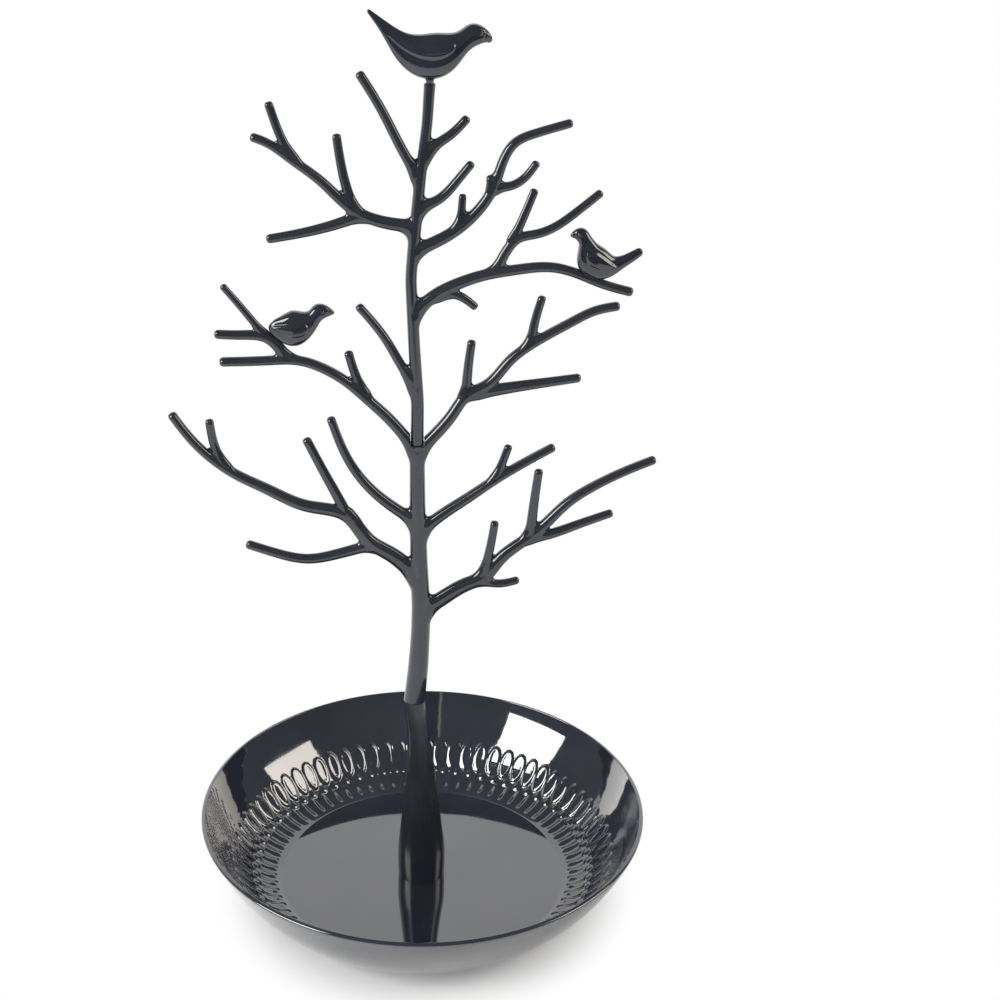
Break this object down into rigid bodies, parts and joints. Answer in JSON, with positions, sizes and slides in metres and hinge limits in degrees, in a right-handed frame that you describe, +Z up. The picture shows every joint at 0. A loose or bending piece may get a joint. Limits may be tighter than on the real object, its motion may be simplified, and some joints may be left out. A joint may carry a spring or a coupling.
{
  "type": "jewelry tree",
  "caption": "Flat moulded jewellery tree with forked limbs to hang necklaces and rings on, perched birds, and a round shallow dish with a relief ring at its foot.",
  "frame": {"origin": "centre of the dish on the table, in the plane of its foot ring", "axes": "+Z up along the trunk, +X to the right across the flat tree as the top bird faces, +Y away from the viewer"},
  "size_m": [0.1544, 0.1504, 0.3058],
  "materials": {
    "dish_plastic": "gloss black moulded plastic, mirror smooth, with a raised relief ring",
    "tree_plastic": "gloss black moulded plastic, slightly uneven",
    "bird_plastic": "gloss black moulded plastic with soft feather relief",
    "screw_steel": "bright zinc plate"
  },
  "bodies": {
    "stand": {"dish": "dish_plastic", "trunk_base": "tree_plastic", "base_screw": "screw_steel", "base_washer": "screw_steel"},
    "lower": {"lower_tree": "tree_plastic", "left_bird": "bird_plastic"},
    "upper": {"upper_tree": "tree_plastic", "right_bird": "bird_plastic"},
    "bird": {"top_bird": "bird_plastic"}
  },
  "joints": [
    {"name": "lower_tree_lift", "type": "slide", "parent": "stand", "child": "lower", "axis": [0, 0, 1], "range_m": [0, 0.03]},
    {"name": "upper_tree_lift", "type": "slide", "parent": "lower", "child": "upper", "axis": [0, 0, 1], "range_m": [0, 0.02]},
    {"name": "top_bird_turn", "type": "hinge", "parent": "upper", "child": "bird", "pos_m": [0.0008, 0, 0.284], "axis": [0, 0, 1], "continuous": true}
  ]
}
